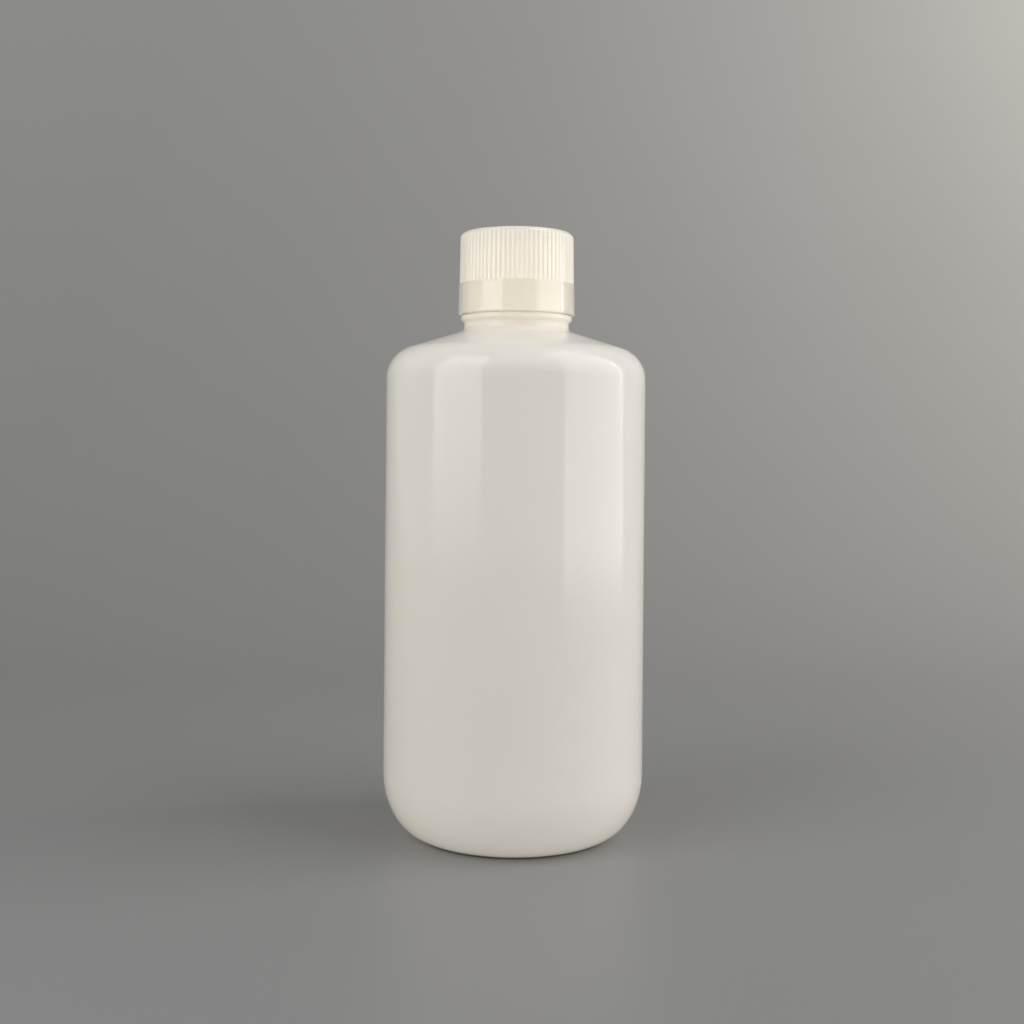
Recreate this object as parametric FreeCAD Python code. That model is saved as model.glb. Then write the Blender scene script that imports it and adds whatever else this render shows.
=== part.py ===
import FreeCAD, Part
import math
import os

# A one-litre narrow-mouth reagent bottle with a ribbed screw cap and a loose sealing liner.
# Millimetres and degrees. +Z runs up the bottle's axis, and the origin is the centre of its standing ring.

# Bottle body
body_diameter = 92.0
body_wall = 1.4
heel_reach = 15.0                 # from the straight wall in to the standing ring
heel_height = 22.0
shoulder_corner_height = 169.3    # where the wall and the shoulder cone would meet if they weren't rounded
shoulder_slope = 17.5
shoulder_round = 10.9

# Bottle base
base_wall = 1.8
standing_ring_width = 3.5
standing_ring_round = 0.8
panel_height = 3.2                # how far the middle of the base is raised
panel_slope_width = 4.5
panel_round = 3.0

# Neck and bead
finish_diameter = 34.9            # the neck's wall under the cap, between the turns of its thread
finish_height = 26.6              # from the bead up to the rim
neck_wall = 2.45
neck_step = 1.2                   # how far the neck below the bead stands out past the finish
neck_height = 2.8                 # from the shoulder cone up to the bead
neck_fillet = 2.0
bead_reach = 1.15
bead_height = 1.4
bead_round = 0.5
rim_round = 0.6

# Screw cap
thread_depth = 1.05
thread_clearance = 0.35
skirt_gap = 0.3                   # from the bead up to the edge of the skirt
skirt_height = 11.0
skirt_wall = 1.85
skirt_flare_height = 2.4
skirt_flare = 0.5                 # how much the mouth of the skirt opens to lead it over the thread
skirt_edge_round = 0.4
shelf_width = 0.16                # how far the smooth skirt stands out past the ribs
cap_draft = 0.85
cap_top_wall = 1.7
cap_top_round = 2.0
rib_count = 70
rib_depth = 0.25
rib_groove = 0.7                  # width of the groove between two ribs
rib_inset = 0.03                  # how far the ribs lie inside the rounded top edge
gate_diameter = 5.0
gate_depth = 0.35

# Liner and the ring that keeps it in the cap
liner_thickness = 1.2
liner_clearance = 0.3
liner_edge_round = 0.2
keeper_reach = 0.7
keeper_height = 1.0
keeper_gap = 0.2

# Radii that follow from the sizes above
body_radius = body_diameter / 2
inner_body_radius = body_radius - body_wall
ring_outer_radius = body_radius - heel_reach
ring_inner_radius = ring_outer_radius - standing_ring_width
panel_radius = ring_inner_radius - panel_slope_width
finish_radius = finish_diameter / 2
bore_radius = finish_radius - neck_wall
rim_middle_radius = finish_radius - neck_wall / 2
neck_radius = finish_radius + neck_step
bead_radius = neck_radius + bead_reach
cap_inner_radius = finish_radius + thread_depth + thread_clearance
skirt_radius = cap_inner_radius + skirt_wall
liner_radius = cap_inner_radius - liner_clearance

# Heights that follow from the sizes above
slope = math.radians(shoulder_slope)
draft = math.tan(math.radians(cap_draft))
neck_bottom = shoulder_corner_height + (body_radius - neck_radius) * math.tan(slope)
bead_bottom = neck_bottom + neck_height
bead_top = bead_bottom + bead_reach + bead_height
rim_height = bead_top + finish_height
skirt_bottom = bead_top + skirt_gap
shelf_height = skirt_bottom + skirt_height
ceiling_height = rim_height + liner_thickness
cap_top = ceiling_height + cap_top_wall


def at(radius, height):
    """A point of a profile in the XZ plane."""
    return FreeCAD.Vector(radius, 0, height)


def path(corners):
    """Edges through corners of (radius, height, round), with an arc at each corner that has a round."""
    points = [at(radius, height) for radius, height, _ in corners]
    edges = []
    start = points[0]
    for before, corner, after, (_, _, round_radius) in zip(points, points[1:], points[2:], corners[1:]):
        if round_radius == 0:
            edges.append(Part.makeLine(start, corner))
            start = corner
            continue
        back = (before - corner).normalize()
        ahead = (after - corner).normalize()
        half_angle = back.getAngle(ahead) / 2
        tangent_length = round_radius / math.tan(half_angle)
        arc_start = corner + back * tangent_length
        arc_end = corner + ahead * tangent_length
        middle = corner + (back + ahead).normalize() * (round_radius / math.sin(half_angle) - round_radius)
        edges.append(Part.makeLine(start, arc_start))
        edges.append(Part.Arc(arc_start, middle, arc_end).toShape())
        start = arc_end
    edges.append(Part.makeLine(start, points[-1]))
    return edges


def quarter_ellipse(start, corner, end):
    """A quarter of an ellipse that runs out along the two sides of a square corner."""
    curve = Part.BSplineCurve()
    weights = [1, math.sqrt(0.5), 1]
    curve.buildFromPolesMultsKnots([start, corner, end], [3, 3], [0, 1], False, 2, weights)
    return curve.toShape()


def turned(edges):
    """A solid turned about the Z axis from the edges of a closed profile."""
    face = Part.Face(Part.Wire(edges))
    return face.revolve(at(0, 0), FreeCAD.Vector(0, 0, 1), 360)


def bottle_inside():
    """The inside of the bottle from its rim down to the middle of its base."""
    wall_step = body_wall / math.cos(slope)
    inner_neck_bottom = shoulder_corner_height + (body_radius - bore_radius) * math.tan(slope) - wall_step
    inner_corner_height = shoulder_corner_height + body_wall * math.tan(slope) - wall_step
    heel_top = at(inner_body_radius, heel_height)
    heel_bottom = at(ring_outer_radius, base_wall)
    upper = path([
        (rim_middle_radius, rim_height, 0),
        (bore_radius, rim_height, rim_round),
        (bore_radius, inner_neck_bottom, neck_fillet + neck_wall),
        (inner_body_radius, inner_corner_height, shoulder_round - body_wall),
        (inner_body_radius, heel_height, 0),
    ])
    heel = quarter_ellipse(heel_top, at(inner_body_radius, base_wall), heel_bottom)
    base = path([
        (ring_outer_radius, base_wall, 0),
        (ring_inner_radius, base_wall, standing_ring_round + base_wall),
        (panel_radius, panel_height + base_wall, panel_round),
        (0, panel_height + base_wall, 0),
    ])
    return upper + [heel] + base


def bottle_outside():
    """The outside of the bottle from the middle of its base up to its rim."""
    heel_bottom = at(ring_outer_radius, 0)
    heel_top = at(body_radius, heel_height)
    base = path([
        (0, panel_height, 0),
        (panel_radius, panel_height, panel_round),
        (ring_inner_radius, 0, standing_ring_round),
        (ring_outer_radius, 0, 0),
    ])
    heel = quarter_ellipse(heel_bottom, at(body_radius, 0), heel_top)
    upper = path([
        (body_radius, heel_height, 0),
        (body_radius, shoulder_corner_height, shoulder_round),
        (neck_radius, neck_bottom, neck_fillet),
        (neck_radius, bead_bottom, bead_round),
        (bead_radius, bead_bottom + bead_reach, bead_round),
        (bead_radius, bead_top, bead_round),
        (finish_radius, bead_top, bead_round),
        (finish_radius, rim_height, rim_round),
        (rim_middle_radius, rim_height, 0),
    ])
    return base + [heel] + upper


def bottle():
    """The blow-moulded shell: base, heel, wall, shoulder, neck, bead and finish."""
    floor = Part.makeLine(at(0, panel_height + base_wall), at(0, panel_height))
    return turned(bottle_outside() + bottle_inside() + [floor])


def brimful_litres():
    """What the bottle holds when it is filled to the rim."""
    mouth = path([(0, rim_height, 0), (rim_middle_radius, rim_height, 0)])
    middle = Part.makeLine(at(0, panel_height + base_wall), at(0, rim_height))
    return turned(mouth + bottle_inside() + [middle]).Volume / 1e6


def rib_outline(crest_radius, height):
    """A closed ring of flat ribs with a sharp groove between each two."""
    spacing = 2 * math.pi / rib_count
    half_rib = spacing / 2 - rib_groove / (2 * crest_radius)

    def on_circle(radius, angle):
        return FreeCAD.Vector(radius * math.cos(angle), radius * math.sin(angle), height)

    edges = []
    for rib in range(rib_count):
        middle = rib * spacing
        rib_start = on_circle(crest_radius, middle - half_rib)
        rib_end = on_circle(crest_radius, middle + half_rib)
        valley = on_circle(crest_radius - rib_depth, middle + spacing / 2)
        next_start = on_circle(crest_radius, middle + spacing - half_rib)
        edges.append(Part.Arc(rib_start, on_circle(crest_radius, middle), rib_end).toShape())
        edges.append(Part.makeLine(rib_end, valley))
        edges.append(Part.makeLine(valley, next_start))
    return Part.Wire(edges)


def cap_grip():
    """The ribbed upper part of the cap, with ribs that run out into its rounded top edge."""
    top_round_radius = skirt_radius - shelf_width + rib_inset - draft * (cap_top - skirt_bottom)
    crest_at_shelf = skirt_radius - shelf_width - draft * skirt_height
    crest_at_top = top_round_radius - rib_inset
    lower_outline = rib_outline(crest_at_shelf, shelf_height)
    upper_outline = rib_outline(crest_at_top, cap_top)
    ribs = Part.makeLoft([lower_outline, upper_outline], True, True)
    rounded = turned(path([
        (0, shelf_height, 0),
        (crest_at_shelf + rib_inset, shelf_height, 0),
        (top_round_radius, cap_top, cap_top_round),
        (gate_diameter / 2, cap_top, 0),
        (gate_diameter / 2, cap_top - gate_depth, 0),
        (0, cap_top - gate_depth, 0),
        (0, shelf_height, 0),
    ]))
    return ribs.common(rounded)


def cap_skirt():
    """The smooth lower part of the cap, before it is hollowed."""
    return turned(path([
        (0, skirt_bottom, 0),
        (skirt_radius, skirt_bottom, skirt_edge_round),
        (skirt_radius - draft * skirt_height, shelf_height, 0),
        (0, shelf_height, 0),
        (0, skirt_bottom, 0),
    ]))


def cap_hollow():
    """The space inside the cap, with the keeper ring that holds the liner up against the ceiling."""
    keeper_top = rim_height - keeper_gap
    keeper_radius = cap_inner_radius - keeper_reach
    return turned(path([
        (0, skirt_bottom, 0),
        (cap_inner_radius + skirt_flare, skirt_bottom, 0),
        (cap_inner_radius, skirt_bottom + skirt_flare_height, 0),
        (cap_inner_radius, keeper_top - keeper_height - keeper_reach, 0),
        (keeper_radius, keeper_top - keeper_height, 0),
        (keeper_radius, keeper_top, 0),
        (cap_inner_radius, keeper_top, 0),
        (cap_inner_radius, ceiling_height, 0),
        (0, ceiling_height, 0),
        (0, skirt_bottom, 0),
    ]))


def screw_cap():
    """The moulded closure: ribbed grip, smooth skirt and keeper ring."""
    return cap_skirt().fuse(cap_grip()).cut(cap_hollow()).removeSplitter().Solids[0]


def cap_liner():
    """The loose sealing disc between the cap's ceiling and the rim of the neck."""
    return turned(path([
        (0, rim_height, 0),
        (liner_radius, rim_height, liner_edge_round),
        (liner_radius, ceiling_height, liner_edge_round),
        (0, ceiling_height, 0),
        (0, rim_height, 0),
    ]))


os.makedirs("parts", exist_ok=True)
for piece in (bottle, screw_cap, cap_liner):
    shape = piece()
    shape.exportStep("parts/" + piece.__name__ + ".step")
    print(piece.__name__, shape.ShapeType, len(shape.Solids), shape.isValid(), round(shape.Volume, 1))
print("brimful litres", round(brimful_litres(), 3), "height", round(cap_top, 2))
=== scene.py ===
"""Dresses the reagent bottle: a milky blow-moulded shell, a clear ribbed screw cap and its foam liner."""

import math

import bmesh
import bpy
from mathutils import Matrix, Vector


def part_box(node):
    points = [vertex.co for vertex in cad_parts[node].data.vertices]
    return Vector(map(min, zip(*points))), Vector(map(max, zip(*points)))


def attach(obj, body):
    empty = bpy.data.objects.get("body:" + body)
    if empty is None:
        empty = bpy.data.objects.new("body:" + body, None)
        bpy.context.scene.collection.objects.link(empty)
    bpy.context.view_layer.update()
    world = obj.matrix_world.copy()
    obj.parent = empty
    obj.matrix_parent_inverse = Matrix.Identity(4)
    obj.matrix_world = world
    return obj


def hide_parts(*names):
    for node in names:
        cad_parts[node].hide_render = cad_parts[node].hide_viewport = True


bl_info = {
    "name": "Reagent Bottle",
    "version": (1, 0, 0),
    "blender": (4, 5, 0),
    "location": "View3D > Sidebar > Reagent Bottle",
    "description": "Builds a narrow-mouth plastic reagent bottle with a ribbed screw cap around its CAD frame",
    "category": "Add Mesh",
}

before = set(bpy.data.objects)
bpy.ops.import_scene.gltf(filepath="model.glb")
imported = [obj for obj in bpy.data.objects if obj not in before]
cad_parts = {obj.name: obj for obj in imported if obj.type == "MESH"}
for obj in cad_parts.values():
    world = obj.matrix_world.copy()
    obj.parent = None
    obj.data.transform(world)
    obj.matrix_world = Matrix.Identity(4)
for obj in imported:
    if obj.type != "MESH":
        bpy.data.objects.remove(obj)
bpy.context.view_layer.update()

MM = 0.001
SNAP = 0.01 * MM  # lengths this near to each other count as the same
FULL_TURN = 2 * math.pi
bottle_low, bottle_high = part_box("bottle")
cap_low, cap_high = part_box("screw_cap")
liner_low, liner_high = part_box("cap_liner")


def length(name, default, description):
    """A length that the sidebar shows in scene units."""
    return bpy.props.FloatProperty(
        name=name, description=description, default=default, min=0.0, precision=5, subtype="DISTANCE", unit="LENGTH"
    )


def angle(name, degrees, description):
    """An angle that the sidebar shows in degrees."""
    return bpy.props.FloatProperty(
        name=name, description=description, default=math.radians(degrees), subtype="ANGLE", unit="ROTATION"
    )


def number(name, default, description):
    """A plain number."""
    return bpy.props.FloatProperty(name=name, description=description, default=default)


def count(name, default, description):
    """A whole number of like things."""
    return bpy.props.IntProperty(name=name, description=description, default=default, min=1)


def colour(name, default, description):
    """A colour in scene-linear red, green and blue."""
    return bpy.props.FloatVectorProperty(
        name=name, description=description, default=default, size=3, min=0.0, max=1.0, subtype="COLOR"
    )


class ShellSizes(bpy.types.PropertyGroup):
    """Sizes of the blow-moulded bottle."""

    body_radius: length("Body radius", bottle_high.x, "Outside of the straight wall")
    body_wall: length("Body wall", 1.4 * MM, "Thickness of the wall and the shoulder")
    heel_reach: length("Heel reach", 15.0 * MM, "From the straight wall in to the standing ring")
    heel_height: length("Heel height", 22.0 * MM, "From the standing ring up to the straight wall")
    shoulder_corner: length("Shoulder corner", 169.3 * MM, "Height where wall and shoulder cone would meet")
    shoulder_slope: angle("Shoulder slope", 17.5, "Rise of the shoulder cone above level")
    shoulder_round: length("Shoulder round", 10.9 * MM, "Radius between the wall and the shoulder cone")
    base_wall: length("Base wall", 1.8 * MM, "Thickness of the base")
    ring_width: length("Ring width", 3.5 * MM, "Flat width of the standing ring")
    ring_round: length("Ring round", 0.8 * MM, "Radius on the inner edge of the standing ring")
    panel_height: length("Panel height", 3.2 * MM, "How far the middle of the base is raised")
    panel_slope_width: length("Panel slope width", 4.5 * MM, "Width of the slope up to the raised panel")
    panel_round: length("Panel round", 3.0 * MM, "Radius between that slope and the panel")
    pinch_length: length("Pinch length", 34.0 * MM, "Length of the pinched seam under the base")
    pinch_width: length("Pinch width", 0.9 * MM, "Width of the pinched seam")
    pinch_height: length("Pinch height", 0.35 * MM, "How far the pinched seam stands out")


class NeckSizes(bpy.types.PropertyGroup):
    """Sizes of the neck, its bead and its thread."""

    finish_radius: length("Finish radius", 17.45 * MM, "Neck wall between the turns of the thread")
    neck_wall: length("Neck wall", 2.45 * MM, "Thickness of the neck")
    neck_step: length("Neck step", 1.2 * MM, "How far the neck below the bead stands out past the finish")
    neck_height: length("Neck height", 2.8 * MM, "From the shoulder cone up to the bead")
    neck_fillet: length("Neck fillet", 2.0 * MM, "Radius between the shoulder cone and the neck")
    bead_reach: length("Bead reach", 1.15 * MM, "How far the bead stands out past the neck")
    bead_height: length("Bead height", 1.4 * MM, "Height of the bead's straight edge")
    bead_round: length("Bead round", 0.5 * MM, "Radius on the bead's corners")
    rim_height: length("Rim height", bottle_high.z, "Height of the rim that the liner seals on")
    rim_round: length("Rim round", 0.6 * MM, "Radius on the two edges of the rim")
    thread_pitch: length("Thread pitch", 25.4 / 6 * MM, "Rise of the thread in one turn")
    thread_start: length("Thread start", 185.8 * MM, "Height of the middle of the ridge where it starts")
    thread_angle: angle("Thread angle", 144.0, "Direction in which the ridge starts, from +X towards +Y")
    neck_turns: number("Neck turns", 2.25, "Turns of the ridge on the neck")
    cap_lag: number("Cap lag", 0.5, "How many turns later the ridge in the cap starts")
    cap_turns: number("Cap turns", 1.4, "Turns of the ridge in the cap")
    cap_drop: length("Cap drop", 1.45 * MM, "How far the cap's ridge lies under the neck's ridge")
    fade_turns: number("Fade turns", 0.12, "Turns over which a ridge rises from its wall")
    ridge_depth: length("Ridge depth", 1.05 * MM, "How far a ridge stands out of its wall")
    ridge_root: length("Ridge root", 1.05 * MM, "Half of a ridge's width at its wall")
    ridge_crest: length("Ridge crest", 0.4 * MM, "Half of a ridge's width at its crest")


class CapSizes(bpy.types.PropertyGroup):
    """Sizes of the ribbed cap and its liner."""

    inner_radius: length("Inner radius", 18.85 * MM, "Inside of the cap's wall")
    skirt_wall: length("Skirt wall", 1.85 * MM, "Thickness of the skirt at its edge")
    skirt_bottom: length("Skirt bottom", cap_low.z, "Height of the edge of the skirt")
    skirt_height: length("Skirt height", 11.0 * MM, "From that edge up to the ribs")
    skirt_round: length("Skirt round", 0.4 * MM, "Radius on the outer edge of the skirt")
    flare: length("Flare", 0.5 * MM, "How much the mouth of the skirt opens")
    flare_height: length("Flare height", 2.4 * MM, "Height over which it opens")
    mouth_round: length("Mouth round", 0.15 * MM, "Radius on the inner edge of the skirt")
    shelf_width: length("Shelf width", 0.16 * MM, "How far the skirt stands out past the ribs")
    shelf_round: length("Shelf round", 0.07 * MM, "Radius on the edge of that shelf")
    draft: angle("Draft", 0.85, "Lean of the cap's outside towards its axis")
    top: length("Top", cap_high.z, "Height of the top of the cap")
    top_wall: length("Top wall", 1.7 * MM, "Thickness of the top")
    top_round: length("Top round", 2.0 * MM, "Radius on the top edge")
    rib_count: count("Ribs", 70, "Ribs round the grip")
    rib_depth: length("Rib depth", 0.25 * MM, "From a rib's crest to the valley beside it")
    rib_inset: length("Rib inset", 0.03 * MM, "How far the crests lie inside the rounded top edge")
    rib_flatness: number("Rib flatness", 3.5, "The higher it is, the flatter the ribs and the narrower the valleys")
    gate_radius: length("Gate radius", 2.5 * MM, "Dimple at the middle of the top")
    gate_depth: length("Gate depth", 0.35 * MM, "Depth of that dimple")
    gate_round: length("Gate round", 0.1 * MM, "Radius on that dimple's edges")
    keeper_reach: length("Keeper reach", 0.7 * MM, "How far the ring under the liner stands in")
    keeper_height: length("Keeper height", 1.0 * MM, "Height of that ring's inner face")
    keeper_gap: length("Keeper gap", 0.2 * MM, "From that ring up to the liner")
    keeper_round: length("Keeper round", 0.2 * MM, "Radius on that ring's upper edge")
    keeper_lead: length("Keeper lead", 0.3 * MM, "Radius on that ring's lower edge")
    liner_radius: length("Liner radius", liner_high.x, "Edge of the foam disc")
    liner_round: length("Liner round", 0.2 * MM, "Radius on the disc's edges")
    liner_mark: length("Liner mark", 0.06 * MM, "Depth of the ring that the rim presses into the disc")
    mark_outset: length("Mark outset", 0.1 * MM, "How far past the rim that ring starts")
    mark_inset: length("Mark inset", 0.3 * MM, "How far inside the rim that ring has its full depth")


class Finishes(bpy.types.PropertyGroup):
    """Colours of the three plastics and of the stage."""

    polyethylene: colour("Polyethylene", (0.885, 0.828, 0.735), "Milky natural polyethylene of the bottle")
    polypropylene: colour("Polypropylene", (1.0, 0.91, 0.77), "Clear natural polypropylene of the cap")
    foam: colour("Foam", (0.86, 0.86, 0.84), "White foam of the liner")
    stage: colour("Stage", (0.27, 0.27, 0.27), "Pale grey floor and backdrop")


class Signal:
    """A socket of a finish, so that shader maths reads as a plain expression."""

    def __init__(self, finish, socket):
        self.finish = finish
        self.socket = socket

    def math(self, operation, first, second):
        return self.finish.node("ShaderNodeMath", {"operation": operation}, {0: first, 1: second})

    def __add__(self, other):
        return self.math("ADD", self, other)

    def __radd__(self, other):
        return self.math("ADD", other, self)

    def __sub__(self, other):
        return self.math("SUBTRACT", self, other)

    def __rsub__(self, other):
        return self.math("SUBTRACT", other, self)

    def __mul__(self, other):
        return self.math("MULTIPLY", self, other)

    def __rmul__(self, other):
        return self.math("MULTIPLY", other, self)

    def __abs__(self):
        return self.math("ABSOLUTE", self, 0.0)


class Finish:
    """A node material that is built up node by node."""

    def __init__(self, name):
        self.material = bpy.data.materials.new(name)
        self.material.use_nodes = True
        self.tree = self.material.node_tree
        self.shader = self.tree.nodes["Principled BSDF"]

    def node(self, kind, settings=None, inputs=None, output=0):
        """Adds a node, sets its settings and then its sockets, and gives one of its outputs."""
        node = self.tree.nodes.new(kind)
        for name, value in (settings or {}).items():
            setattr(node, name, value)
        self.fill(node, inputs or {})
        return Signal(self, node.outputs[output])

    def fill(self, node, inputs):
        """Sets sockets of a node to plain values or links them to signals."""
        for name, value in inputs.items():
            if isinstance(value, Signal):
                self.tree.links.new(value.socket, node.inputs[name])
            else:
                node.inputs[name].default_value = value

    def place(self):
        """Where a point lies in the frame, in metres."""
        return self.node("ShaderNodeTexCoord", output="Object")

    def axis(self, place, name):
        """One coordinate of a point."""
        return self.node("ShaderNodeSeparateXYZ", inputs={"Vector": place}, output=name)

    def radius(self, place):
        """How far a point lies from the Z axis."""
        level = self.node("ShaderNodeVectorMath", {"operation": "MULTIPLY"}, {0: place, 1: (1.0, 1.0, 0.0)})
        return self.node("ShaderNodeVectorMath", {"operation": "LENGTH"}, {0: level}, output="Value")

    def noise(self, place, scale, stretch=(1.0, 1.0, 1.0), detail=2.0):
        """Cloudy values from 0 to 1, with features about one over the scale in size."""
        stretched = self.node("ShaderNodeMapping", inputs={"Vector": place, "Scale": stretch})
        inputs = {"Vector": stretched, "Scale": scale, "Detail": detail}
        return self.node("ShaderNodeTexNoise", inputs=inputs, output="Fac")

    def between(self, mask, low, high):
        """A colour that goes from low to high with a mask."""
        settings = {"data_type": "RGBA"}
        return self.node("ShaderNodeMix", settings, {"Factor": mask, 6: (*low, 1.0), 7: (*high, 1.0)}, output=2)

    def ramp(self, value, start, end, low=0.0, high=1.0):
        """Goes smoothly from low to high while a value goes from start to end."""
        settings = {"interpolation_type": "SMOOTHSTEP"}
        inputs = {"Value": value, "From Min": start, "From Max": end, "To Min": low, "To Max": high}
        return self.node("ShaderNodeMapRange", settings, inputs)

    def bump(self, height, distance, normal=None):
        """Tilts the surface by a height map whose full swing is the given distance."""
        inputs = {"Height": height, "Distance": distance}
        if normal is not None:
            inputs["Normal"] = normal
        return self.node("ShaderNodeBump", inputs=inputs)

    def set(self, **inputs):
        """Sets the shader's sockets, named with underscores for spaces."""
        self.fill(self.shader, {name.replace("_", " "): value for name, value in inputs.items()})


def shade(rgb, factor):
    """A colour made lighter or darker."""
    return tuple(min(1.0, channel * factor) for channel in rgb)


def polyethylene_finish(rgb):
    """Milky polyethylene: light soaks into the wall, under a smooth skin with slight waves and a mould seam."""
    finish = Finish("natural_polyethylene")
    place = finish.place()
    clouds = finish.noise(place, scale=28.0, stretch=(1.0, 1.0, 0.35))
    waves = finish.noise(place, scale=34.0, stretch=(1.0, 1.0, 0.4), detail=1.0)
    grain = finish.noise(place, scale=1500.0)
    smears = finish.noise(place, scale=90.0, stretch=(1.0, 1.0, 0.25), detail=4.0)
    off_seam = abs(finish.axis(place, "Y"))
    seam = finish.ramp(off_seam, start=0.05 * MM, end=0.3 * MM, low=1.0, high=0.0)
    skin = finish.bump(waves, distance=0.015 * MM)
    skin = finish.bump(grain, distance=0.006 * MM, normal=skin)
    skin = finish.bump(seam, distance=0.05 * MM, normal=skin)
    finish.set(
        Base_Color=finish.between(clouds, shade(rgb, 0.96), shade(rgb, 1.03)),
        Roughness=0.07 + smears * 0.04,
        IOR=1.53,
        Subsurface_Weight=1.0,
        Subsurface_Radius=(1.0, 0.97, 0.9),
        Subsurface_Scale=4.0 * MM,
        Normal=skin,
    )
    return finish.material


def polypropylene_finish(rgb, cap):
    """Clear polypropylene: the outer skin is milky, and what lies behind the thin skirt shows through it."""
    finish = Finish("natural_polypropylene")
    place = finish.place()
    height = finish.axis(place, "Z")
    radius = finish.radius(place)
    clouds = finish.noise(place, scale=120.0)
    drag = finish.noise(place, scale=500.0, stretch=(1.0, 1.0, 0.08))
    shelf_height = cap.skirt_bottom + cap.skirt_height
    ceiling = cap.top - cap.top_wall
    blend = 0.2 * MM
    wall_middle = 0.5 * MM
    grip = finish.ramp(height, start=shelf_height - blend, end=shelf_height + blend)
    side_middle = cap.inner_radius + wall_middle
    side = finish.ramp(radius, start=side_middle - blend, end=side_middle + blend)
    roof_middle = ceiling + wall_middle
    roof = finish.ramp(height, start=roof_middle - blend, end=roof_middle + blend)
    outside = side + roof - side * roof
    finish.set(
        Base_Color=finish.between(clouds, shade(rgb, 0.97), shade(rgb, 1.02)),
        Roughness=0.06 + clouds * 0.04,
        IOR=1.6,
        Specular_IOR_Level=0.8,
        Coat_Weight=0.35,
        Coat_Roughness=0.04,
        Coat_IOR=1.7,
        Sheen_Weight=1.0,
        Sheen_Roughness=0.4,
        Subsurface_Weight=0.3,
        Subsurface_Radius=(1.0, 0.97, 0.9),
        Subsurface_Scale=2.0 * MM,
        Alpha=0.08 + outside * (0.42 + grip * 0.18),
        Normal=finish.bump(drag, distance=0.01 * MM),
    )
    return finish.material


def foam_finish(rgb):
    """Closed-cell foam with a fine pitted face."""
    finish = Finish("foam_liner")
    place = finish.place()
    cells = finish.node("ShaderNodeTexVoronoi", inputs={"Vector": place, "Scale": 2600.0}, output="Distance")
    clouds = finish.noise(place, scale=300.0)
    finish.set(
        Base_Color=finish.between(clouds, shade(rgb, 0.93), shade(rgb, 1.02)),
        Roughness=0.75 + cells * 0.2,
        IOR=1.4,
        Normal=finish.bump(cells, distance=0.08 * MM),
    )
    return finish.material


def stage_finish(rgb):
    """Smooth painted board with a slight sheen, which fades into the surround where the photo no longer shows it."""
    finish = Finish("stage_board")
    place = finish.place()
    clouds = finish.noise(place, scale=6.0)
    finish.set(
        Base_Color=finish.between(clouds, shade(rgb, 0.98), shade(rgb, 1.02)),
        Roughness=0.42 + clouds * 0.06,
        Alpha=finish.ramp(finish.radius(place), start=1.05, end=1.3, low=1.0, high=0.0),
    )
    return finish.material


def draw_profile(bm, corners):
    """Draws half a section in the XZ plane through corners of (radius, height, round, steps of the round)."""
    points = [Vector((radius, 0.0, height)) for radius, height, _, _ in corners]
    verts = [bm.verts.new(point) for point in points]
    for first, second in zip(verts, verts[1:]):
        bm.edges.new((first, second))
    for before, corner, after, vert, (_, _, radius, steps) in zip(
        points, points[1:], points[2:], verts[1:], corners[1:]
    ):
        if radius > 0.0:
            half_angle = (before - corner).angle(after - corner) / 2
            round_corner(bm, vert, radius / math.tan(half_angle), steps)
    return verts


def round_corner(bm, vert, reach, steps):
    """Rounds a corner of a profile with an arc that starts a given reach from it, and gives the arc's vertices."""
    made = bmesh.ops.bevel(
        bm, geom=[vert], offset=reach, offset_type="OFFSET", segments=steps, profile=0.5, affect="VERTICES", material=-1
    )
    return made["verts"]


def round_heel(bm, vert, reach, rise, steps):
    """Rounds a square corner with a quarter of an ellipse: an arc of the reach, stretched up to the rise."""
    floor = Matrix.Translation((0.0, 0.0, -vert.co.z))
    arc = round_corner(bm, vert, reach, steps)
    bmesh.ops.scale(bm, verts=arc, vec=(1.0, 1.0, rise / reach), space=floor)


def divide_edges(bm, edges, longest):
    """Cuts edges of a profile into equal lengths no longer than the given one."""
    for edge in edges:
        cuts = math.ceil(edge.calc_length() / longest) - 1
        if cuts > 0:
            bmesh.ops.subdivide_edges(bm, edges=[edge], cuts=cuts)


def edges_at(bm, radius):
    """The upright edges of a profile at a given distance from the axis."""
    return [edge for edge in bm.edges if all(abs(vert.co.x - radius) < SNAP for vert in edge.verts)]


def spin_profile(bm, sectors, steps):
    """Turns a profile about the Z axis into a closed skin: one sector in steps, then copies of it round the axis."""
    sector = FULL_TURN / sectors
    about_axis = {"cent": (0, 0, 0), "axis": (0, 0, 1), "dvec": (0, 0, 0), "use_normal_flip": False, "use_merge": False}
    profile = bm.verts[:] + bm.edges[:]
    bmesh.ops.spin(bm, geom=profile, angle=sector, steps=steps, use_duplicate=False, **about_axis)
    strip = bm.verts[:] + bm.edges[:] + bm.faces[:]
    bmesh.ops.spin(bm, geom=strip, angle=FULL_TURN - sector, steps=sectors - 1, use_duplicate=True, **about_axis)
    bmesh.ops.remove_doubles(bm, verts=bm.verts[:], dist=SNAP / 10)
    bmesh.ops.recalc_face_normals(bm, faces=bm.faces[:])


def set_radius(vert, radius):
    """Moves a vertex straight in or out to a given distance from the axis."""
    vert.co.xy *= radius / vert.co.xy.length


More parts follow.
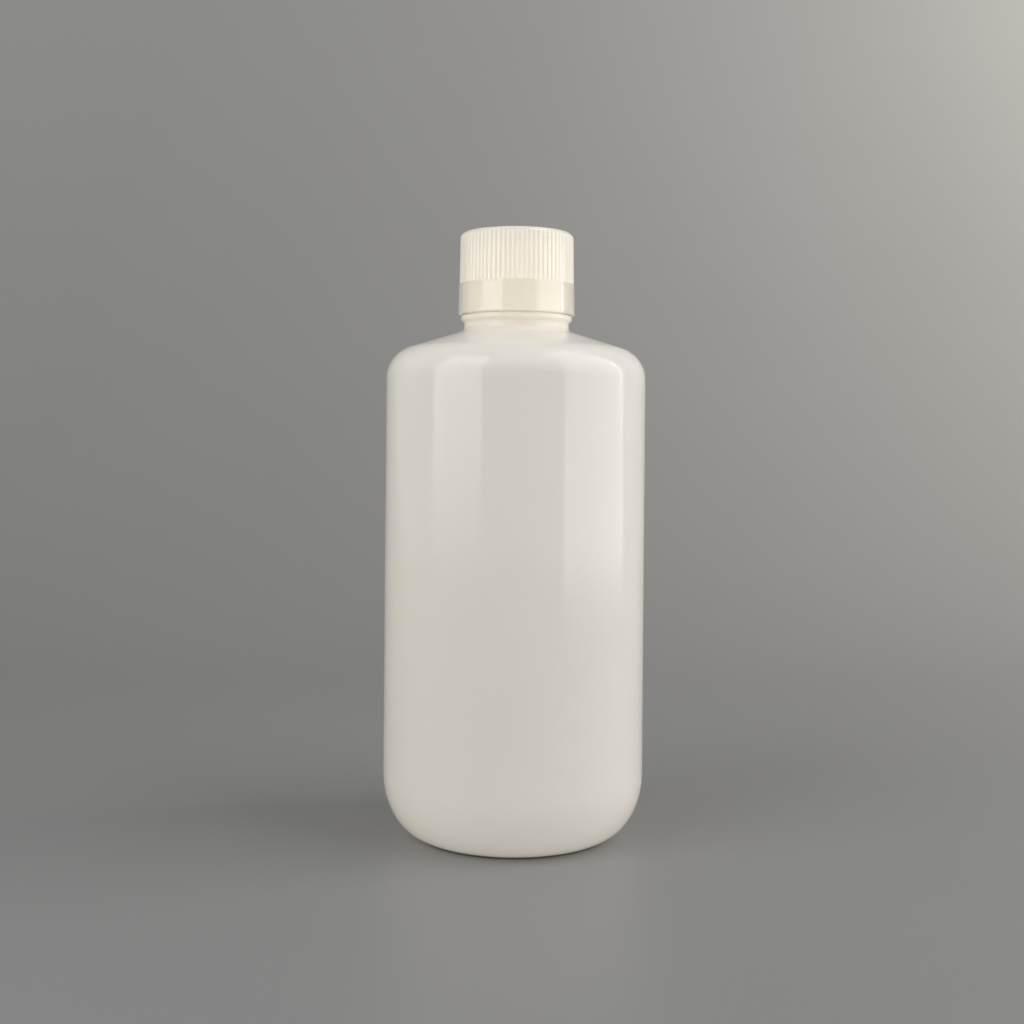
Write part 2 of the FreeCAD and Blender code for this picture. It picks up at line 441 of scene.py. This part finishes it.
def ridge_height(neck, point, first_turn, turns, drop):
    """How far a helical ridge stands out of its wall at a point, from 0 to the ridge's depth."""
    around = (math.atan2(point.y, point.x) - neck.thread_angle) / FULL_TURN % 1.0
    climbed = (point.z - neck.thread_start + drop) / neck.thread_pitch
    turn = around + round(climbed - around)
    off_middle = abs(climbed - turn) * neck.thread_pitch
    along = min(turn - first_turn, first_turn + turns - turn) / neck.fade_turns
    flank = (neck.ridge_root - off_middle) / (neck.ridge_root - neck.ridge_crest)
    return neck.ridge_depth * ease(along) * ease(flank)


def ease(share):
    """Goes smoothly from 0 to 1 and stays there."""
    share = min(1.0, max(0.0, share))
    return share * share * (3 - 2 * share)


def add_piece(name, bm, material, body, node=None, sharp_degrees=40.0):
    """Makes a piece of the object from a bmesh and joins it to the frame."""
    mesh = bpy.data.meshes.new(name)
    bm.to_mesh(mesh)
    bm.free()
    mesh.shade_smooth()
    mesh.set_sharp_from_angle(angle=math.radians(sharp_degrees))
    mesh.materials.append(material)
    piece = bpy.data.objects.new(name, mesh)
    bpy.context.collection.objects.link(piece)
    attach(piece, body)
    if node:
        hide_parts(node)


class REAGENT_OT_bottle_shell(bpy.types.Operator):
    """Build the milky shell with its base, heel, shoulder, neck and thread"""

    bl_idname = "reagent_bottle.bottle_shell"
    bl_label = "Bottle Shell"

    def execute(self, context):
        shell = context.scene.bottle_shell
        neck = context.scene.bottle_neck
        material = polyethylene_finish(context.scene.bottle_finishes.polyethylene)
        bm = bmesh.new()
        self.draw_wall(bm, shell, neck)
        divide_edges(bm, edges_at(bm, neck.finish_radius), longest=0.22 * MM)
        divide_edges(bm, bm.edges[:], longest=4.0 * MM)
        spin_profile(bm, sectors=16, steps=15)
        self.raise_thread(bm, neck)
        add_piece("bottle_shell", bm, material, "bottle", "bottle")
        self.add_pinch_line(shell, material)
        return {"FINISHED"}

    @staticmethod
    def draw_wall(bm, shell, neck):
        """The section of the wall, up the outside, over the rim and down the inside."""
        rise = math.tan(shell.shoulder_slope)
        lean = shell.body_wall / math.cos(shell.shoulder_slope)
        inner_radius = shell.body_radius - shell.body_wall
        ring_outer = shell.body_radius - shell.heel_reach
        ring_inner = ring_outer - shell.ring_width
        panel_radius = ring_inner - shell.panel_slope_width
        panel_inside = shell.panel_height + shell.base_wall
        neck_radius = neck.finish_radius + neck.neck_step
        bore_radius = neck.finish_radius - neck.neck_wall
        neck_bottom = shell.shoulder_corner + (shell.body_radius - neck_radius) * rise
        inner_neck_bottom = shell.shoulder_corner + (shell.body_radius - bore_radius) * rise - lean
        inner_corner = shell.shoulder_corner + shell.body_wall * rise - lean
        bead_bottom = neck_bottom + neck.neck_height
        bead_radius = neck_radius + neck.bead_reach
        bead_top = bead_bottom + neck.bead_reach + neck.bead_height
        corners = draw_profile(bm, [
            (0.0, shell.panel_height, 0.0, 0),
            (panel_radius, shell.panel_height, shell.panel_round, 6),
            (ring_inner, 0.0, shell.ring_round, 5),
            (shell.body_radius, 0.0, 0.0, 0),
            (shell.body_radius, shell.shoulder_corner, shell.shoulder_round, 20),
            (neck_radius, neck_bottom, neck.neck_fillet, 8),
            (neck_radius, bead_bottom, neck.bead_round, 4),
            (bead_radius, bead_bottom + neck.bead_reach, neck.bead_round, 4),
            (bead_radius, bead_top, neck.bead_round, 5),
            (neck.finish_radius, bead_top, neck.bead_round, 5),
            (neck.finish_radius, neck.rim_height, neck.rim_round, 6),
            (bore_radius, neck.rim_height, neck.rim_round, 6),
            (bore_radius, inner_neck_bottom, neck.neck_fillet + neck.neck_wall, 10),
            (inner_radius, inner_corner, shell.shoulder_round - shell.body_wall, 16),
            (inner_radius, shell.base_wall, 0.0, 0),
            (ring_inner, shell.base_wall, shell.ring_round + shell.base_wall, 5),
            (panel_radius, panel_inside, shell.panel_round, 6),
            (0.0, panel_inside, 0.0, 0),
        ])
        outer_heel = corners[3]
        inner_heel = corners[14]
        round_heel(bm, outer_heel, shell.heel_reach, shell.heel_height, 24)
        round_heel(bm, inner_heel, inner_radius - ring_outer, shell.heel_height - shell.base_wall, 20)

    @staticmethod
    def raise_thread(bm, neck):
        """Raises the helical ridge out of the neck's wall."""
        for vert in bm.verts:
            if abs(vert.co.xy.length - neck.finish_radius) < SNAP:
                height = ridge_height(neck, vert.co, 0.0, neck.neck_turns, 0.0)
                set_radius(vert, neck.finish_radius + height)

    @staticmethod
    def add_pinch_line(shell, material):
        """The thin seam where the mould pinched the tube shut, across the raised panel of the base."""
        bm = bmesh.new()
        bmesh.ops.create_cube(bm, size=1.0)
        bmesh.ops.scale(bm, verts=bm.verts[:], vec=(shell.pinch_length, shell.pinch_width, 2 * shell.pinch_height))
        bmesh.ops.bevel(
            bm, geom=bm.edges[:], offset=shell.pinch_height * 0.6, offset_type="OFFSET", segments=3, profile=0.5,
            affect="EDGES", material=-1,
        )
        bmesh.ops.translate(bm, verts=bm.verts[:], vec=(0.0, 0.0, shell.panel_height))
        add_piece("base_pinch_line", bm, material, "bottle")


class REAGENT_OT_ribbed_cap(bpy.types.Operator):
    """Build the clear cap with its ribs, skirt, keeper ring and thread"""

    bl_idname = "reagent_bottle.ribbed_cap"
    bl_label = "Ribbed Cap"

    def execute(self, context):
        cap = context.scene.bottle_cap
        neck = context.scene.bottle_neck
        material = polypropylene_finish(context.scene.bottle_finishes.polypropylene, cap)
        bm = bmesh.new()
        self.draw_wall(bm, cap, neck)
        divide_edges(bm, edges_at(bm, cap.inner_radius), longest=0.25 * MM)
        divide_edges(bm, bm.edges[:], longest=1.2 * MM)
        spin_profile(bm, sectors=cap.rib_count, steps=6)
        self.press_ribs(bm, cap)
        self.raise_thread(bm, cap, neck)
        add_piece("ribbed_cap", bm, material, "cap", "screw_cap")
        return {"FINISHED"}

    @staticmethod
    def draw_wall(bm, cap, neck):
        """The section of the wall, up the inside from the skirt's edge to the ceiling, and down the outside."""
        lean = math.tan(cap.draft)
        shelf_height = cap.skirt_bottom + cap.skirt_height
        skirt_radius = cap.inner_radius + cap.skirt_wall
        shelf_radius = skirt_radius - lean * cap.skirt_height
        crest_radius = shelf_radius - cap.shelf_width
        top_radius = skirt_radius - cap.shelf_width + cap.rib_inset - lean * (cap.top - cap.skirt_bottom)
        ceiling = cap.top - cap.top_wall
        keeper_radius = cap.inner_radius - cap.keeper_reach
        keeper_top = neck.rim_height - cap.keeper_gap
        keeper_bottom = keeper_top - cap.keeper_height
        draw_profile(bm, [
            (0.0, ceiling, 0.0, 0),
            (cap.inner_radius, ceiling, 0.0, 0),
            (cap.inner_radius, keeper_top, 0.0, 0),
            (keeper_radius, keeper_top, cap.keeper_round, 3),
            (keeper_radius, keeper_bottom, cap.keeper_lead, 3),
            (cap.inner_radius, keeper_bottom - cap.keeper_reach, 0.0, 0),
            (cap.inner_radius, cap.skirt_bottom + cap.flare_height, 0.0, 0),
            (cap.inner_radius + cap.flare, cap.skirt_bottom, cap.mouth_round, 2),
            (skirt_radius, cap.skirt_bottom, cap.skirt_round, 4),
            (shelf_radius, shelf_height, cap.shelf_round, 2),
            (crest_radius + cap.rib_inset, shelf_height, 0.0, 0),
            (top_radius, cap.top, cap.top_round, 14),
            (cap.gate_radius, cap.top, cap.gate_round, 2),
            (cap.gate_radius, cap.top - cap.gate_depth, cap.gate_round, 2),
            (0.0, cap.top - cap.gate_depth, 0.0, 0),
        ])

    @staticmethod
    def press_ribs(bm, cap):
        """Presses the valleys between the ribs into the grip, and keeps them crisp."""
        lean = math.tan(cap.draft)
        shelf_height = cap.skirt_bottom + cap.skirt_height
        spacing = FULL_TURN / cap.rib_count
        for vert in bm.verts:
            if vert.co.z < shelf_height - SNAP:
                continue
            radius = vert.co.xy.length
            crest = cap.inner_radius + cap.skirt_wall - cap.shelf_width - lean * (vert.co.z - cap.skirt_bottom)
            across = math.atan2(vert.co.y, vert.co.x) / spacing
            off_crest = 2 * abs(across - round(across))
            valley = crest - cap.rib_depth * off_crest ** cap.rib_flatness
            on_shelf = vert.co.z < shelf_height + SNAP and radius > crest + cap.rib_inset + SNAP
            if radius > valley and not on_shelf:
                set_radius(vert, valley)

    @staticmethod
    def raise_thread(bm, cap, neck):
        """Raises the helical ridge out of the cap's inner wall."""
        for vert in bm.verts:
            if abs(vert.co.xy.length - cap.inner_radius) < SNAP:
                height = ridge_height(neck, vert.co, neck.cap_lag, neck.cap_turns, neck.cap_drop)
                set_radius(vert, cap.inner_radius - height)


class REAGENT_OT_foam_liner(bpy.types.Operator):
    """Build the foam disc with the mark that the rim presses into it"""

    bl_idname = "reagent_bottle.foam_liner"
    bl_label = "Foam Liner"

    def execute(self, context):
        cap = context.scene.bottle_cap
        neck = context.scene.bottle_neck
        ceiling = cap.top - cap.top_wall
        bore_radius = neck.finish_radius - neck.neck_wall
        pressed = neck.rim_height + cap.liner_mark
        material = foam_finish(context.scene.bottle_finishes.foam)
        bm = bmesh.new()
        draw_profile(bm, [
            (0.0, neck.rim_height, 0.0, 0),
            (bore_radius - cap.mark_outset, neck.rim_height, 0.0, 0),
            (bore_radius + cap.mark_inset, pressed, 0.0, 0),
            (neck.finish_radius - cap.mark_inset, pressed, 0.0, 0),
            (neck.finish_radius + cap.mark_outset, neck.rim_height, 0.0, 0),
            (cap.liner_radius, neck.rim_height, cap.liner_round, 4),
            (cap.liner_radius, ceiling, cap.liner_round, 4),
            (0.0, ceiling, 0.0, 0),
        ])
        divide_edges(bm, bm.edges[:], longest=1.5 * MM)
        spin_profile(bm, sectors=16, steps=10)
        add_piece("liner_disc", bm, material, "liner", "cap_liner")
        return {"FINISHED"}


class REAGENT_OT_stage(bpy.types.Operator):
    """Set up the board, the softboxes, the lamps and the camera"""

    bl_idname = "reagent_bottle.stage"
    bl_label = "Stage"

    def execute(self, context):
        self.add_board(context)
        self.add_softbox("softbox_left", azimuth=-50.5, width=0.41, low=0.03, high=0.88, power=2.05, fade=0.2)
        self.add_softbox("softbox_right", azimuth=73.0, width=0.62, low=0.0, high=1.6, power=4.75, fade=0.045)
        self.add_backdrop_lamps()
        self.add_inner_light()
        self.add_world(context)
        self.add_camera(context)
        context.scene.view_settings.view_transform = "Standard"
        return {"FINISHED"}

    @staticmethod
    def add_board(context):
        """A board that lies under the bottle and curves up behind it."""
        side, front, back, height, bend = -1.3, -1.3, 0.9, 1.6, 0.6
        bm = bmesh.new()
        corners = [Vector((side, front, 0.0)), Vector((side, back, 0.0)), Vector((side, back, height))]
        verts = [bm.verts.new(corner) for corner in corners]
        for first, second in zip(verts, verts[1:]):
            bm.edges.new((first, second))
        round_corner(bm, verts[1], bend, 24)
        sheet = bmesh.ops.extrude_edge_only(bm, edges=bm.edges[:])
        moved = [item for item in sheet["geom"] if isinstance(item, bmesh.types.BMVert)]
        bmesh.ops.translate(bm, verts=moved, vec=(-2 * side, 0.0, 0.0))
        bmesh.ops.recalc_face_normals(bm, faces=bm.faces[:])
        mesh = bpy.data.meshes.new("stage_board")
        bm.to_mesh(mesh)
        bm.free()
        mesh.shade_smooth()
        mesh.materials.append(stage_finish(context.scene.bottle_finishes.stage))
        board = bpy.data.objects.new("stage_board", mesh)
        context.collection.objects.link(board)

    def add_backdrop_lamps(self):
        """Two panels that wash the backdrop, stronger and warmer on the right."""
        size = (0.4, 0.8)
        self.add_panel("backdrop_lamp_left", (-0.85, 0.2, 0.55), (-0.65, 0.9, 0.5), size, 1.2, (1.0, 0.98, 0.93))
        self.add_panel("backdrop_lamp_right", (0.85, 0.2, 0.55), (0.65, 0.9, 0.5), size, 7.0, (1.0, 0.95, 0.84))

    def add_inner_light(self):
        """Stands in for the light that gathers in milky plastic: panels for heel and cap alone, and lamps inside."""
        under_heel, straight_up = (0.0, 0.0, 0.5 * MM), (0.0, 0.0, 1.0)
        glow = self.add_panel("floor_glow", under_heel, straight_up, (0.16, 0.16), 0.016)
        self.keep_to(glow, "bottle_shell", "base_pinch_line")
        cap_middle = (0.0, 0.0, 0.198)
        for side in (-0.7, 0.7):
            fill = self.add_panel("cap_fill", (side, -0.4, 0.3), cap_middle, (0.8, 0.8), 2.1)
            self.keep_to(fill, "ribbed_cap")
        for height, power in ((0.022, 0.0064), (0.06, 0.005), (0.095, 0.005), (0.13, 0.005)):
            self.add_lamp("inside_lamp", height, 0.016, power, (1.0, 0.99, 0.97))
        self.add_lamp("neck_lamp", 0.2, 0.008, 0.003, (0.86, 0.95, 1.0))

    @staticmethod
    def add_light(name, kind, power, rgb=(1.0, 1.0, 1.0)):
        """A light of a kind, with a power in watts and a colour."""
        light = bpy.data.lights.new(name, kind)
        light.energy = power
        light.color = rgb
        lamp = bpy.data.objects.new(name, light)
        bpy.context.collection.objects.link(lamp)
        return lamp

    def add_softbox(self, name, azimuth, width, low, high, power, fade, distance=0.5):
        """An upright soft panel that faces the bottle from an azimuth, and fades out over its lowest share."""
        panel = self.add_light(name, "AREA", power)
        light = panel.data
        light.shape = "RECTANGLE"
        light.size = width
        light.size_y = high - low
        turn = math.radians(azimuth)
        panel.location = (distance * math.sin(turn), -distance * math.cos(turn), (low + high) / 2)
        panel.rotation_euler = (math.radians(90.0), 0.0, turn)
        light.use_nodes = True
        tree = light.node_tree
        spot = tree.nodes.new("ShaderNodeNewGeometry")
        axes = tree.nodes.new("ShaderNodeSeparateXYZ")
        ramp = tree.nodes.new("ShaderNodeMapRange")
        ramp.interpolation_type = "SMOOTHSTEP"
        ramp.inputs["From Max"].default_value = fade
        tree.links.new(spot.outputs["Parametric"], axes.inputs["Vector"])
        tree.links.new(axes.outputs["Y"], ramp.inputs["Value"])
        tree.links.new(ramp.outputs["Result"], tree.nodes["Emission"].inputs["Strength"])

    def add_panel(self, name, place, aim, size, power, rgb=(1.0, 1.0, 1.0)):
        """A soft oval panel at a place, facing the point that it is aimed at."""
        panel = self.add_light(name, "AREA", power, rgb)
        panel.data.shape = "ELLIPSE"
        panel.data.size, panel.data.size_y = size
        panel.location = place
        panel.rotation_euler = (Vector(aim) - Vector(place)).to_track_quat("-Z", "Y").to_euler()
        return panel

    @staticmethod
    def keep_to(panel, *pieces):
        """Lets a panel light the named pieces only, and leaves it out of reflections."""
        lit = bpy.data.collections.new(panel.name)
        for piece in pieces:
            lit.objects.link(bpy.data.objects[piece])
        panel.light_linking.receiver_collection = lit
        panel.visible_glossy = False

    def add_lamp(self, name, height, radius, power, rgb):
        """A round lamp on the bottle's axis."""
        lamp = self.add_light(name, "POINT", power, rgb)
        lamp.data.shadow_soft_size = radius
        lamp.location = (0.0, 0.0, height)

    @staticmethod
    def add_world(context):
        """A plain grey surround that is darker overhead."""
        world = bpy.data.worlds.new("surround")
        world.use_nodes = True
        tree = world.node_tree
        background = tree.nodes["Background"]
        direction = tree.nodes.new("ShaderNodeTexCoord")
        axes = tree.nodes.new("ShaderNodeSeparateXYZ")
        blend = tree.nodes.new("ShaderNodeMix")
        blend.data_type = "RGBA"
        horizon, zenith = 0.6, 0.3
        blend.inputs[6].default_value = (horizon, horizon, horizon, 1.0)
        blend.inputs[7].default_value = (zenith, zenith, zenith, 1.0)
        tree.links.new(direction.outputs["Generated"], axes.inputs["Vector"])
        tree.links.new(axes.outputs["Z"], blend.inputs["Factor"])
        tree.links.new(blend.outputs[2], background.inputs["Color"])
        context.scene.world = world

    @staticmethod
    def add_camera(context):
        """The photograph's view: level, a little over half way up the bottle, with the frame shifted down."""
        image_width = 1024
        focal_pixels = 1368.3
        horizon_row = 443.3
        axis_column = 515.4
        distance = 488.4 * MM
        eye_height = 138.1 * MM
        roll = math.radians(-0.48)
        camera = bpy.data.cameras.new("camera")
        camera.sensor_width = 36.0
        camera.lens = camera.sensor_width * focal_pixels / image_width
        camera.shift_y = (horizon_row - image_width / 2) / image_width
        eye = bpy.data.objects.new("camera", camera)
        side_step = (axis_column - image_width / 2) / focal_pixels * distance
        eye.location = (-side_step, -distance, eye_height)
        eye.rotation_euler = (math.radians(90.0), roll, 0.0)
        context.collection.objects.link(eye)
        context.scene.camera = eye


class REAGENT_PT_sidebar(bpy.types.Panel):
    """Lists the bottle's pieces, sizes and colours"""

    bl_idname = "REAGENT_PT_sidebar"
    bl_label = "Reagent Bottle"
    bl_space_type = "VIEW_3D"
    bl_region_type = "UI"
    bl_category = "Reagent Bottle"

    def draw(self, context):
        for operator in OPERATORS:
            self.layout.operator(operator.bl_idname)
        for name in GROUPS:
            group = getattr(context.scene, name)
            box = self.layout.box()
            for key in group.__annotations__:
                box.prop(group, key)


GROUPS = {
    "bottle_shell": ShellSizes,
    "bottle_neck": NeckSizes,
    "bottle_cap": CapSizes,
    "bottle_finishes": Finishes,
}
OPERATORS = (REAGENT_OT_bottle_shell, REAGENT_OT_ribbed_cap, REAGENT_OT_foam_liner, REAGENT_OT_stage)


def register():
    for kind in (*GROUPS.values(), *OPERATORS, REAGENT_PT_sidebar):
        bpy.utils.register_class(kind)
    for name, kind in GROUPS.items():
        setattr(bpy.types.Scene, name, bpy.props.PointerProperty(type=kind))


def unregister():
    for name in GROUPS:
        delattr(bpy.types.Scene, name)
    for kind in (REAGENT_PT_sidebar, *reversed(OPERATORS), *reversed(list(GROUPS.values()))):
        bpy.utils.unregister_class(kind)


def main():
    register()
    bpy.ops.reagent_bottle.bottle_shell()
    bpy.ops.reagent_bottle.ribbed_cap()
    bpy.ops.reagent_bottle.foam_liner()
    bpy.ops.reagent_bottle.stage()


if __name__ == "__main__":
    main()
